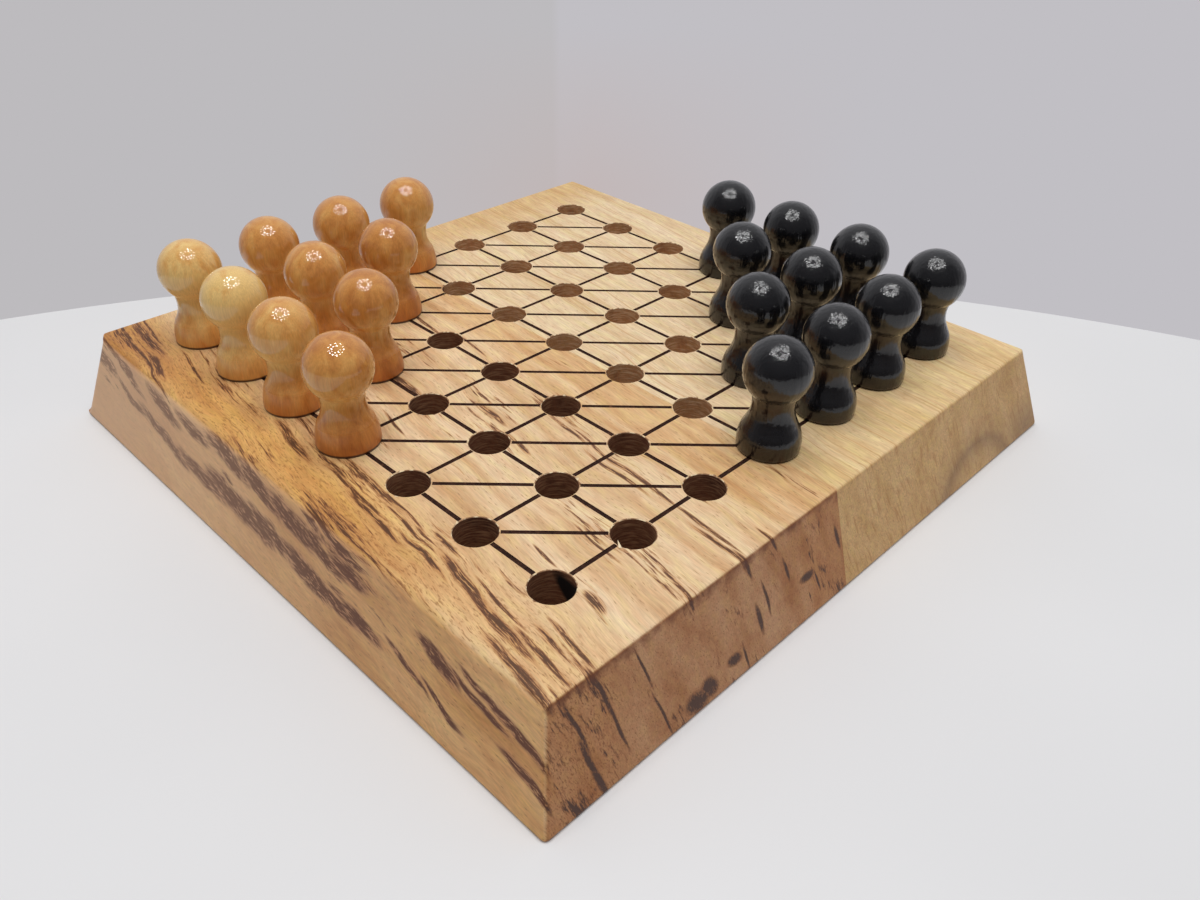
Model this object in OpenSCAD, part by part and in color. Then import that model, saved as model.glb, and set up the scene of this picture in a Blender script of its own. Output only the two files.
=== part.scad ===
// A two-player peg jump game: a flared board of two glued planks, 7 by 7 drilled holes, twenty turned pegs.
// Millimetres. The origin is the middle of the underside, +Z is up, +X runs across the grain towards the
// corner of the black pegs, and +Y runs along the grain towards the corner of the natural pegs.

/* [Board] */
// Distance between the centres of neighbouring holes
hole_pitch = 18; // [15:0.5:24]
// Holes along each side of the grid
holes_per_side = 7; // [5:1:9]
// From the centre of an outer hole to the edge of the playing face
edge_margin = 16.3; // [10:0.1:25]
// Thickness of the planks
board_t = 19; // [16:0.5:25]
// How far each side leans outwards from the playing face to the underside
side_flare = 5.7; // [0:0.1:9]
// Sanded flat along the upper and lower edges
edge_ease = 0.6; // [0.2:0.1:1.5]
// How far the flats on three of the corners are cut in, along the diagonal
corner_ease = 0.5; // [0.2:0.1:1.5]
// The same on the corner by the natural pegs, which is worn rounder
worn_corner = 1.6; // [0.2:0.1:3]
// From the middle of the board to the glue joint, towards the streaked side
seam_offset = 2; // [0:0.1:12]

/* [Holes] */
// Diameter of the drilled holes
hole_d = 7.6; // [6:0.1:9]
// Depth of a hole down to the start of the drill point
hole_depth = 10; // [7:0.5:12]
// Full angle of the drill point
drill_angle = 118; // [90:2:150]

/* [Pegs] */
// Rows of pegs in each corner, so that four rows are ten pegs
camp_rows = 4; // [1:1:4]
// Diameter of the ball head
head_d = 12.6; // [11:0.1:14]
// From the narrowest part of the neck up to the centre of the head
head_rise = 6.8; // [6.2:0.1:8]
// Diameter at the narrowest part of the neck
neck_d = 8; // [6.5:0.1:8.6]
// Radius of the hollow turned round the neck
cove_r = 7; // [5:0.5:10]
// How much thicker than the neck the stem is, on the radius, where the hollow runs out
cove_depth = 1; // [0.6:0.1:1.2]
// Diameter of the foot at its widest
foot_d = 11.9; // [11:0.1:13.5]
// All-round gap between a tenon and its hole
tenon_gap = 0.3; // [0.1:0.05:0.6]
// Space left under a tenon in its hole
tenon_clear = 2; // [1:0.5:4]
// Chamfer on the lower end of a tenon
tenon_chamfer = 0.6; // [0.2:0.1:1]

/* [Feet of the pegs] */
// Natural pegs: radius of the bell-shaped side of the foot
bell_r = 13; // [10:0.5:20]
// Natural pegs: height of the widest part above the board
bell_h = 0.4; // [0.3:0.1:1.5]
// Natural pegs: rounding round the lower edge
bell_round = 0.3; // [0.2:0.1:1.2]
// Natural pegs: height of the narrowest part of the neck above the board
bell_waist = 8.6; // [8.5:0.1:11]
// Black pegs: radius of the rounder side of the foot
barrel_r = 6.3; // [6:0.1:9]
// Black pegs: height of the widest part above the board
barrel_h = 2; // [1:0.1:3]
// Black pegs: rounding round the lower edge
barrel_round = 0.8; // [0.2:0.1:1.2]
// Black pegs: height of the narrowest part of the neck above the board
barrel_waist = 9.2; // [8.5:0.1:11]

/* [Hidden] */
$fn = 64;
last = holes_per_side - 1;
top_half = last * hole_pitch / 2 + edge_margin;
base_half = top_half + side_flare;
hole_r = hole_d / 2;
point_h = hole_r / tan(drill_angle / 2);
tenon_r = hole_r - tenon_gap;
tenon_len = hole_depth - tenon_clear;
head_r = head_d / 2;
neck_r = neck_d / 2;
foot_r = foot_d / 2;
reach = 2 * base_half;

// The camps, from the corner hole inwards, as [steps along the grain, steps across it]
natural_camp = [for (row = [0 : camp_rows - 1]) for (k = [0 : row]) [last - row + k, k]];
black_camp = [for (hole = natural_camp) [hole[1], hole[0]]];

// Moves its children to a hole, given as [steps along the grain, steps across it]
module at_hole(hole)
    translate([(hole[1] - last / 2) * hole_pitch, (hole[0] - last / 2) * hole_pitch, 0])
        children();

// Upright section of the board: flared sides with both edges sanded flat
module board_section(top, base)
    polygon([
        [-base + edge_ease, 0], [base - edge_ease, 0], [base, edge_ease],
        [top, board_t - edge_ease], [top - edge_ease, board_t],
        [-top + edge_ease, board_t], [-top, board_t - edge_ease], [-base, edge_ease]
    ]);

// That section run through the board, at an angle about the upright axis
module flared_bar(top, base, turn)
    rotate([0, 0, turn])
        rotate([90, 0, 0])
            linear_extrude(height = 2 * reach, center = true)
                board_section(top, base);

// Slab that trims one corner, leaving everything but the tip: a half section whose outer side leans
// as the corner does
module corner_trim(ease, turn)
    rotate([0, 0, turn])
        rotate([90, 0, 0])
            linear_extrude(height = 2 * reach, center = true)
                polygon([
                    [-reach, -1], [base_half * sqrt(2) - ease, -1],
                    [base_half * sqrt(2) - ease, 0], [top_half * sqrt(2) - ease, board_t],
                    [top_half * sqrt(2) - ease, board_t + 1], [-reach, board_t + 1]
                ]);

module board_blank()
    intersection() {
        flared_bar(top_half, base_half, 0);
        flared_bar(top_half, base_half, 90);
        for (turn = [-45, 45, 225]) corner_trim(corner_ease, turn);
        corner_trim(worn_corner, 135);
    }

// One drilled hole with the cone left by the drill point
module drilled_hole()
    translate([0, 0, board_t - hole_depth]) {
        cylinder(h = hole_depth + 1, r = hole_r);
        translate([0, 0, -point_h]) cylinder(h = point_h, r1 = 0, r2 = hole_r);
    }

module all_holes()
    for (i = [0 : last], j = [0 : last]) at_hole([i, j]) drilled_hole();

// The part of the drilled board on one side of the glue joint
module plank(side)
    difference() {
        intersection() {
            board_blank();
            translate([side > 0 ? -seam_offset : -seam_offset - 2 * reach, -reach, -1])
                cube([2 * reach, 2 * reach, board_t + 2]);
        }
        all_holes();
    }

module streaked_plank() color("#c8955c") plank(-1);

module plain_plank() color("#e2c38c") plank(1);

// Half section of a foot: one round side, a flat seat and a rounded lower edge
module foot_section(side_r, widest_h, edge_r, waist)
    intersection() {
        square([foot_r, waist]);
        translate([foot_r - side_r, widest_h]) circle(side_r);
        union() {
            square([foot_r - edge_r, waist]);
            translate([0, edge_r]) square([foot_r, waist]);
            translate([foot_r - edge_r, edge_r]) circle(edge_r);
        }
    }

// Half section of the core of a peg: tenon, shoulder and stem, up to the centre of the head
module core_section(head_h)
    polygon([
        [0, -tenon_len], [tenon_r - tenon_chamfer, -tenon_len], [tenon_r, tenon_chamfer - tenon_len],
        [tenon_r, 0], [neck_r + cove_depth, 0], [neck_r + cove_depth, head_h], [0, head_h]
    ]);

// Half section of a ball head, centred at this height
module head_section(head_h)
    intersection() {
        translate([0, head_h]) circle(head_r);
        translate([0, head_h - head_r]) square([head_r, head_d]);
    }

// Half section of a whole peg: core and foot, hollowed at the neck, with the ball head on top
module peg_section(side_r, widest_h, edge_r, waist)
    union() {
        difference() {
            union() {
                core_section(waist + head_rise);
                foot_section(side_r, widest_h, edge_r, waist);
            }
            translate([neck_r + cove_r, waist]) circle(cove_r);
        }
        head_section(waist + head_rise);
    }

// A peg standing on the board, turned about its own axis
module turned_peg(hole, side_r, widest_h, edge_r, waist)
    at_hole(hole)
        translate([0, 0, board_t])
            rotate_extrude()
                peg_section(side_r, widest_h, edge_r, waist);

module natural_peg(hole)
    color("#cf9c5c") turned_peg(hole, bell_r, bell_h, bell_round, bell_waist);

module black_peg(hole)
    color("#1f1c1b") turned_peg(hole, barrel_r, barrel_h, barrel_round, barrel_waist);

streaked_plank();
plain_plank();
for (n = [1 : len(natural_camp)])
    natural_peg(natural_camp[n - 1]);
for (n = [1 : len(black_camp)])
    black_peg(black_camp[n - 1]);
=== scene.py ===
import math
import random

import bmesh
import bpy
from mathutils import Matrix, Vector


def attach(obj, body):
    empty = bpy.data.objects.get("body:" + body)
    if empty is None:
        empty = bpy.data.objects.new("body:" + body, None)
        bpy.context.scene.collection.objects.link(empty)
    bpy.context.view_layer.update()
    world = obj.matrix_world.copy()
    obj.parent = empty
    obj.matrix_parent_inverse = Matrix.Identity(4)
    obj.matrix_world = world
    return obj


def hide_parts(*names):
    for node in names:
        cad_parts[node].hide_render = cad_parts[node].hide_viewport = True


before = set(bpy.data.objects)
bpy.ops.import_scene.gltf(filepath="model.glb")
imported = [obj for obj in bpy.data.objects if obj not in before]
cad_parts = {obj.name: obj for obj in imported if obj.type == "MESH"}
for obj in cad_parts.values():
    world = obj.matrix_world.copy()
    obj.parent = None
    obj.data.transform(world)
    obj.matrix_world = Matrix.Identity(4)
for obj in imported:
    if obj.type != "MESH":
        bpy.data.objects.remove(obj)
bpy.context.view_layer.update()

# The view
# The photograph was taken by hand from just off the near corner of the board, looking down at it by about a
# third of a right angle, with a short lens that makes the near corner large.
MM = 0.001
CAMERA_PLACE = (-128.1, -134.6, 120.7)
CAMERA_TURN = (55.05, -1.17, -45.31)
FRAME_W = 36
LENS = 29.43
camera = bpy.data.objects.new("camera", bpy.data.cameras.new("camera"))
camera.location = Vector(CAMERA_PLACE) * MM
camera.rotation_euler = [math.radians(a) for a in CAMERA_TURN]
camera.data.sensor_width = FRAME_W
camera.data.lens = LENS
camera.data.clip_start = 10 * MM
bpy.context.collection.objects.link(camera)
bpy.context.scene.camera = camera
bpy.context.scene.view_settings.view_transform = "Standard"

# The streaked half of the board
# A planed plank of a pale hardwood with dark mineral streaks, glued edge to edge to the plain one. The board
# was flared on all four sides, drilled, scored with dark lines from hole to hole, sanded and thinly oiled.
PITCH = 18
HOLES = 7
MARGIN = 16.3
BOARD_T = 19
FLARE = 5.7
TOP_HALF = (HOLES - 1) / 2 * PITCH + MARGIN
BASE_HALF = TOP_HALF + FLARE
SEAM_X = -2.0
# How far the sandpaper rounded each edge: the corner by the natural pegs is worn most
WORN_CORNER = 4.0
NEAR_CORNER = 1.0
SHARP_CORNER = 1.2
BASE_EDGE = 0.8
LEFT_EDGE = 1.3
TOP_EDGE = 0.55
JOINT_EDGE = 0.05
# The drill, its point and what it did to the rims
HOLE_R = 3.8
HOLE_DEPTH = 10
DRILL_HALF_ANGLE = 59
WALL_RING = 4
RIM = 0.13
RIM_WOBBLE = (-0.04, 0.06)
CHIP = 0.3
CHIP_SHARE = 0.035
# The scored lines stop just short of the holes and narrow towards their bottom
LINE_W = 0.98
LINE_DEPTH = 0.12
LINE_SHORT = 0.06
LINE_TAPER = (0.99, 0.8, 1)
# The places of a plank's other materials, after its wood
HOLE_WALL, RAW_RIM, SCORED_LINE = 1, 2, 3
chance = random.Random(11)
# Points nearer than this are one point, and an edge that turns by more degrees than this stays crisp
ONE_POINT = 0.0005
CRISP = 32


def hole_at(i, j, z=BOARD_T):
    """Centre of the hole that is i steps along the grain and j steps across it, in metres"""
    middle = (HOLES - 1) / 2
    return Vector(((j - middle) * PITCH, (i - middle) * PITCH, z)) * MM


def new_mesh(name, bm):
    """A mesh object at the origin from a bmesh, smooth but for its real edges"""
    bmesh.ops.remove_doubles(bm, verts=bm.verts, dist=ONE_POINT * MM)
    bmesh.ops.recalc_face_normals(bm, faces=bm.faces)
    for face in bm.faces:
        face.smooth = True
    for edge in bm.edges:
        edge.smooth = edge.is_manifold and edge.calc_face_angle() < math.radians(CRISP)
    mesh = bpy.data.meshes.new(name)
    bm.to_mesh(mesh)
    bm.free()
    obj = bpy.data.objects.new(name, mesh)
    bpy.context.collection.objects.link(obj)
    return obj


def finished(obj):
    """Writes an object's modifiers into its mesh"""
    depsgraph = bpy.context.evaluated_depsgraph_get()
    mesh = bpy.data.meshes.new_from_object(obj.evaluated_get(depsgraph))
    obj.modifiers.clear()
    obj.data = mesh
    return obj


def sanded_blank():
    """The glued board before drilling: a flared block with its edges sanded round"""
    bm = bmesh.new()
    block = Matrix.Translation((0, 0, BOARD_T / 2 * MM)) @ Matrix.Diagonal(
        (2 * BASE_HALF * MM, 2 * BASE_HALF * MM, BOARD_T * MM, 1)
    )
    bmesh.ops.create_cube(bm, size=1, matrix=block)
    top = [v for v in bm.verts if v.co.z > BOARD_T / 2 * MM]
    bmesh.ops.scale(bm, vec=(TOP_HALF / BASE_HALF, TOP_HALF / BASE_HALF, 1), verts=top)
    rounding = bm.edges.layers.float.new("bevel_weight_edge")
    for edge in bm.edges:
        x, y, z = (edge.verts[0].co + edge.verts[1].co) / 2 / MM
        if abs(x) > 10 and abs(y) > 10:
            radius = SHARP_CORNER if x > 0 else WORN_CORNER if y > 0 else NEAR_CORNER
        elif z < BOARD_T / 2:
            radius = BASE_EDGE
        else:
            radius = LEFT_EDGE if x < -10 else TOP_EDGE
        edge[rounding] = radius / WORN_CORNER
    mesh = bpy.data.meshes.new("board_blank")
    bm.to_mesh(mesh)
    bm.free()
    blank = bpy.data.objects.new("board_blank", mesh)
    bpy.context.collection.objects.link(blank)
    sanding = blank.modifiers.new("sanding", "BEVEL")
    sanding.limit_method = "WEIGHT"
    sanding.width = WORN_CORNER * MM
    sanding.segments = 5
    return finished(blank)


def drill_and_scoring():
    """Everything that the drill and the scoring tool take out of the board, as one mesh of separate bits"""
    bm = bmesh.new()
    wall_top = BOARD_T - RIM
    floor_z = BOARD_T - HOLE_DEPTH
    point = HOLE_R / math.tan(math.radians(DRILL_HALF_ANGLE))
    profile = [
        (0, floor_z - point), (HOLE_R, floor_z), (HOLE_R, wall_top - WALL_RING), (HOLE_R, wall_top),
        (HOLE_R + RIM, BOARD_T), (HOLE_R + 2 * RIM, BOARD_T + RIM), (0, BOARD_T + RIM),
    ]
    for i in range(HOLES):
        for j in range(HOLES):
            place = hole_at(i, j, 0)
            ring = [bm.verts.new(place + Vector((r, 0, z)) * MM) for r, z in profile]
            edges = [bm.edges.new(pair) for pair in zip(ring, ring[1:])]
            bmesh.ops.spin(
                bm, geom=ring + edges, cent=place, axis=(0, 0, 1), angle=2 * math.pi, steps=48, use_merge=True
            )
    bmesh.ops.remove_doubles(bm, verts=bm.verts, dist=ONE_POINT * MM)
    for face in bm.faces:
        face.material_index = RAW_RIM if face.calc_center_median().z > wall_top * MM else HOLE_WALL
    # The drill tore a few chips out of the rims
    for vert in bm.verts:
        if abs(vert.co.z / MM - BOARD_T) < 0.01:
            i, j = (round(c / MM / PITCH + (HOLES - 1) / 2) for c in (vert.co.y, vert.co.x))
            outwards = (vert.co - hole_at(i, j)).normalized()
            torn = CHIP if chance.random() < CHIP_SHARE else 0
            vert.co += outwards * MM * (chance.uniform(*RIM_WOBBLE) + torn)
    for i in range(HOLES):
        for j in range(HOLES):
            for along, across in ((1, 0), (0, 1), (1, -1)):
                if not (0 <= i + along < HOLES and 0 <= j + across < HOLES):
                    continue
                a, b = hole_at(i, j), hole_at(i + along, j + across)
                way = (b - a).normalized()
                a = a + way * MM * (HOLE_R + RIM + LINE_SHORT * chance.uniform(0.4, 1.6))
                b = b - way * MM * (HOLE_R + RIM + LINE_SHORT * chance.uniform(0.4, 1.6))
                middle = (a + b) / 2
                size = Matrix.Diagonal(((b - a).length, LINE_W * MM, 2 * LINE_DEPTH * MM, 1))
                turn = way.to_track_quat("X", "Z").to_matrix().to_4x4()
                lie = Matrix.Translation(middle) @ turn
                bar = bmesh.ops.create_cube(bm, size=1, matrix=lie @ size)["verts"]
                bottom = [v for v in bar if v.co.z < BOARD_T * MM]
                bmesh.ops.scale(bm, vec=LINE_TAPER, verts=bottom, space=lie.inverted())
                for face in {f for v in bar for f in v.link_faces}:
                    face.material_index = SCORED_LINE
    return new_mesh("drill_and_scoring", bm)


blank = sanded_blank()
cutter = drill_and_scoring()


def cut_plank(name, side, materials):
    """One of the two planks: the blank parted at the glue joint, drilled and scored"""
    bm = bmesh.new()
    bm.from_mesh(blank.data)
    bmesh.ops.bisect_plane(
        bm, geom=bm.verts[:] + bm.edges[:] + bm.faces[:], plane_co=(SEAM_X * MM, 0, 0),
        plane_no=(-side, 0, 0), clear_outer=True,
    )
    joint = bmesh.ops.holes_fill(bm, edges=[e for e in bm.edges if e.is_boundary])["faces"]
    joint_edges = list({e for f in joint for e in f.edges})
    bmesh.ops.bevel(
        bm, geom=joint_edges, offset=JOINT_EDGE * MM, offset_type="OFFSET", segments=1, profile=0.5,
        affect="EDGES", material=-1,
    )
    plank = new_mesh(name, bm)
    for material in materials:
        plank.data.materials.append(material)
    cutting = plank.modifiers.new("cutting", "BOOLEAN")
    cutting.operation = "DIFFERENCE"
    cutting.solver = "EXACT"
    cutting.use_self = True
    cutting.object = cutter
    shading = plank.modifiers.new("shading", "WEIGHTED_NORMAL")
    shading.keep_sharp = True
    return finished(plank)


def colour(code):
    """A colour written as sRGB hex, as the linear value that a shader takes"""
    parts = (int(code[k : k + 2], 16) / 255 for k in (1, 3, 5))
    return tuple(c / 12.92 if c <= 0.04045 else ((c + 0.055) / 1.055) ** 2.4 for c in parts) + (1,)


def add(tree, kind, sockets=None, stops=None, **settings):
    """A node with its settings; a socket takes a value or another node's output, a ramp takes its stops"""
    node = tree.nodes.new(kind)
    for key, value in settings.items():
        setattr(node, key, value)
    for key, value in (sockets or {}).items():
        if isinstance(value, bpy.types.NodeSocket):
            tree.links.new(value, node.inputs[key])
        else:
            node.inputs[key].default_value = value
    if stops:
        ramp = node.color_ramp.elements
        while len(ramp) < len(stops):
            ramp.new(1)
        for element, (at, value) in zip(ramp, stops):
            element.position = at
            element.color = value if isinstance(value, tuple) else (value, value, value, 1)
    return node


def new_material(name):
    """An empty material and its tree, with a Principled surface and object coordinates"""
    material = bpy.data.materials.new(name)
    material.use_nodes = True
    tree = material.node_tree
    tree.nodes.clear()
    surface = tree.nodes.new("ShaderNodeBsdfPrincipled")
    output = tree.nodes.new("ShaderNodeOutputMaterial")
    tree.links.new(surface.outputs["BSDF"], output.inputs["Surface"])
    place = tree.nodes.new("ShaderNodeTexCoord").outputs["Object"]
    return material, tree, surface, place


def per_mm(*sizes):
    """Scales along each axis, in features to the metre, for features of these sizes in millimetres"""
    return tuple(1 / (size * MM) for size in sizes)


blend_colours = {"data_type": "RGBA", "clamp_factor": True}
# The growth layers stand in the planks as sheets that lean by this much, so a streak shows as a slanting line
# on the end and on the side, and as a line close to the grain on the playing face
LAYERS = Vector((1, -0.14, 0.29))


def facing(tree, axis):
    """How far a surface faces along an axis: along Y it is end grain, along X a long side of the board"""
    normal = add(tree, "ShaderNodeNewGeometry").outputs["Normal"]
    lean = add(tree, "ShaderNodeSeparateXYZ", {"Vector": normal}).outputs[axis]
    lean = add(tree, "ShaderNodeMath", {0: lean}, operation="ABSOLUTE").outputs[0]
    return add(tree, "ShaderNodeMapRange", {"Value": lean, "From Min": 0.55, "From Max": 0.85}).outputs[0]


def sawn_wood(tree, place, pale, mid, deep, pore):
    """A planed plank whose grain runs along Y: its colour, and the patterns in it, each by its name"""
    across = add(
        tree, "ShaderNodeVectorMath", {0: place, 1: LAYERS}, operation="DOT_PRODUCT"
    ).outputs["Value"]
    parts = add(tree, "ShaderNodeSeparateXYZ", {"Vector": place})
    grain = add(
        tree, "ShaderNodeCombineXYZ", {"X": across, "Y": parts.outputs["Y"], "Z": parts.outputs["Z"]}
    ).outputs[0]
    # The grain wanders by a few millimetres
    wander = add(tree, "ShaderNodeTexNoise", {"Vector": place, "Scale": 45.0, "Detail": 2.0}).outputs["Color"]
    wander = add(
        tree, "ShaderNodeVectorMath", {0: wander, 1: (0.5, 0.5, 0.5)}, operation="SUBTRACT"
    ).outputs[0]
    wander = add(
        tree, "ShaderNodeVectorMath", {0: wander, 1: (4.5 * MM, 0, 2 * MM)}, operation="MULTIPLY"
    ).outputs[0]
    grain = add(tree, "ShaderNodeVectorMath", {0: grain, 1: wander}, operation="ADD").outputs[0]
    # Growth bands, cloudy patches in them, and fibres
    bands = add(tree, "ShaderNodeMapping", {"Vector": grain, "Scale": per_mm(4, 45, 9)}).outputs[0]
    bands = add(tree, "ShaderNodeTexNoise", {"Vector": bands, "Scale": 1.0, "Detail": 3.0}).outputs["Fac"]
    tones = add(
        tree, "ShaderNodeValToRGB", {"Fac": bands}, stops=[(0.3, pale), (0.5, mid), (0.72, deep)]
    ).outputs["Color"]
    mottle = add(tree, "ShaderNodeMapping", {"Vector": grain, "Scale": per_mm(1.3, 5, 1.5)}).outputs[0]
    mottle = add(tree, "ShaderNodeTexNoise", {"Vector": mottle, "Scale": 1.0, "Detail": 3.0}).outputs["Fac"]
    mottle = add(
        tree, "ShaderNodeValToRGB", {"Fac": mottle},
        stops=[(0.35, colour("#f6e8dc")), (0.5, colour("#fbf3e8")), (0.65, colour("#fffce8"))],
    ).outputs["Color"]
    mottled = add(
        tree, "ShaderNodeMix", {0: 1.0, 6: tones, 7: mottle}, blend_type="MULTIPLY", **blend_colours
    ).outputs[2]
    fibres = add(tree, "ShaderNodeMapping", {"Vector": grain, "Scale": per_mm(0.26, 3.4, 0.5)}).outputs[0]
    fibres = add(tree, "ShaderNodeTexNoise", {"Vector": fibres, "Scale": 1.0, "Detail": 3.0}).outputs["Fac"]
    fibre_shade = add(
        tree, "ShaderNodeMapRange",
        {"Value": fibres, "From Min": 0.3, "From Max": 0.7, "To Min": 0.85, "To Max": 1.12},
    ).outputs[0]
    shaded = add(
        tree, "ShaderNodeVectorMath", {0: mottled, "Scale": fibre_shade}, operation="SCALE"
    ).outputs[0]
    # Pores, which show more where they are cut across
    pores = add(tree, "ShaderNodeMapping", {"Vector": grain, "Scale": per_mm(0.5, 2.6, 0.6)}).outputs[0]
    pores = add(tree, "ShaderNodeTexVoronoi", {"Vector": pores, "Scale": 1.0}).outputs["Distance"]
    cut_end = facing(tree, "Y")
    opened = add(tree, "ShaderNodeMath", {0: cut_end, 1: 0.06, 2: 0.22}, operation="MULTIPLY_ADD").outputs[0]
    pores = add(
        tree, "ShaderNodeMapRange",
        {"Value": pores, "From Min": 0.06, "From Max": opened, "To Min": 0.6, "To Max": 0.0},
    ).outputs[0]
    pored = add(tree, "ShaderNodeMix", {0: pores, 6: shaded, 7: pore}, **blend_colours).outputs[2]
    wood = {"colour": pored, "grain": grain, "fibres": fibres, "pores": pores, "bands": bands}
    return wood | {"cut end": cut_end}


def oil_finish(tree, surface, wood_colour, wood):
    """Joins a wood's colour to its surface, satin over a trace of open grain"""
    tree.links.new(wood_colour, surface.inputs["Base Color"])
    surface.inputs["Roughness"].default_value = 0.5
    surface.inputs["Specular IOR Level"].default_value = 0.3
    relief = add(tree, "ShaderNodeMath", {0: wood["fibres"], 1: wood["pores"]}, operation="SUBTRACT")
    bump = add(tree, "ShaderNodeBump", {"Height": relief.outputs[0], "Distance": 0.03 * MM, "Strength": 0.6})
    tree.links.new(bump.outputs["Normal"], surface.inputs["Normal"])


# The mineral streaks that stand out, each as its place on a face of the board and its half sizes in
# millimetres. On the playing face: place across and along the grain, half width and half length.
TOP_STREAKS = [
    (-58.4, -13, 0.6, 9), (-60, -5, 0.45, 4), (-61.6, -11, 0.3, 7), (-63.6, -21.5, 0.5, 8),
    (-62, -17, 0.3, 7), (-59.2, -23, 0.25, 6), (-61.5, -28, 0.3, 7), (-63.9, -34.5, 0.5, 6),
    (-60, -35.5, 0.4, 3), (-63, -44, 0.8, 7), (-62, -51, 0.3, 6), (-64.8, -54, 0.8, 8),
    (-69, -64, 0.9, 8), (-64.6, -63.5, 0.5, 6), (-61.8, -62, 0.4, 3), (-60, -64.5, 0.45, 5),
    (-51.9, -60.8, 0.8, 2.4), (-50.2, -48, 0.28, 2.6), (-42.3, -51.5, 0.28, 5), (-38.3, -58, 0.22, 6),
    (-29.6, -11, 0.5, 4), (-32.4, -23.8, 0.4, 2), (-22.4, -25, 0.35, 5), (-22.8, -34, 0.25, 8),
    (-24, -42, 0.4, 8.5), (-25.6, -40.5, 0.35, 7), (-24.8, -50, 0.25, 6), (-26.3, -61, 0.4, 7),
    (-28.5, -66, 0.45, 6), (-44.7, -0.8, 0.3, 4), (-63.2, 62, 1.0, 9), (-61.2, 64, 0.4, 7),
    (-67.7, 55, 0.5, 14), (-67, 50, 0.8, 6), (-62, 43.5, 0.3, 7), (-60.9, 7, 0.9, 7), (-56.8, 8, 0.3, 6),
    (-16.3, 28, 0.4, 7), (-15.9, 13, 0.3, 5), (-35.3, 9, 0.75, 7),
]
# On the side by the natural pegs: place along the grain, depth below the edge, half width and half length
SIDE_STREAKS = [
    (-65.5, 7.6, 0.5, 9), (-60, 6.2, 0.35, 8), (-57.5, 7.6, 0.3, 7), (-48.5, 6.7, 0.75, 5),
    (-70.5, 13, 0.45, 7), (-51, 12.6, 0.3, 5), (-42, 12, 0.3, 6), (-30, 11.8, 0.7, 5),
    (-22, 11.2, 0.6, 8), (-14, 10.8, 1.1, 9), (-2, 9.4, 0.8, 8), (4, 10, 1.1, 8), (12, 9.6, 1.2, 9),
    (22, 9.8, 0.8, 9), (-25, 5.2, 0.7, 5), (-17, 4.9, 0.7, 8), (-8, 4.4, 1.0, 8), (3, 4, 0.5, 8),
    (4, 2.4, 0.6, 6), (14, 2.9, 1.1, 8), (27, 2.4, 0.7, 6), (38, 2.8, 0.9, 8), (33, 9.2, 0.7, 9),
    (41, 8.2, 0.6, 8), (52.5, 7.1, 0.45, 7), (56, 2.6, 0.5, 10), (62, 1.4, 0.45, 9), (66.5, 4.2, 0.9, 6),
]
# On the near end: place across the grain, depth below the edge, half width and half height
END_STREAKS = [
    (-66.2, 6, 0.35, 5), (-65.4, 12, 0.5, 4), (-64.4, 16.5, 0.55, 4), (-60.6, 4, 0.4, 5),
    (-59, 10, 0.3, 5), (-52, 5, 0.25, 3.5), (-50.2, 14, 0.22, 4.5), (-28, 1.4, 0.5, 2.4),
    (-26.4, 11.7, 0.55, 2.6), (-24.3, 9, 0.3, 3), (-20.7, 0.7, 0.35, 2), (-34, 14.8, 1.6, 0.9),
    (-31, 16, 0.28, 2.6), (-43.5, 16.8, 2.2, 1.7), (-40.5, 16, 1.6, 1.6), (-13, 10.8, 1.9, 0.7),
    (-10.2, 13, 0.28, 2), (-18.5, 7, 0.35, 2), (-2.5, 8.2, 0.5, 2.2),
]


# Each kind's third half size: down from the playing face, up the side, and in from the end
TOP_STREAK_IN = 2.5
SIDE_STREAK_UP = 2.8
END_STREAK_IN = 3


def streak_places():
    """The streaks above as places in the plank, each with its half sizes across, along and up"""
    for x, y, thin, long in TOP_STREAKS:
        yield (x, y, BOARD_T), (thin, long, TOP_STREAK_IN)
    for y, depth, thin, long in SIDE_STREAKS:
        yield (-TOP_HALF - FLARE * depth / BOARD_T, y, BOARD_T - depth), (thin, long, SIDE_STREAK_UP)
    for x, depth, thin, tall in END_STREAKS:
        yield (x, -TOP_HALF - FLARE * depth / BOARD_T, BOARD_T - depth), (thin, END_STREAK_IN, tall)


# Oiled hardwood with mineral streaks: satin, golden along the left edge and beside the joint, with thin
# streaks that feather out along the grain and turn from orange-brown at their edges to red-brown
streaked_material, tree, surface, place = new_material("streaked_hardwood_oiled")
wood = sawn_wood(
    tree, place, colour("#eed9b9"), colour("#e5c9a3"), colour("#d0aa7d"), colour("#8c6038")
)
parts = add(tree, "ShaderNodeSeparateXYZ", {"Vector": place})
cut_end = wood["cut end"]
side = facing(tree, "X")
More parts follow.
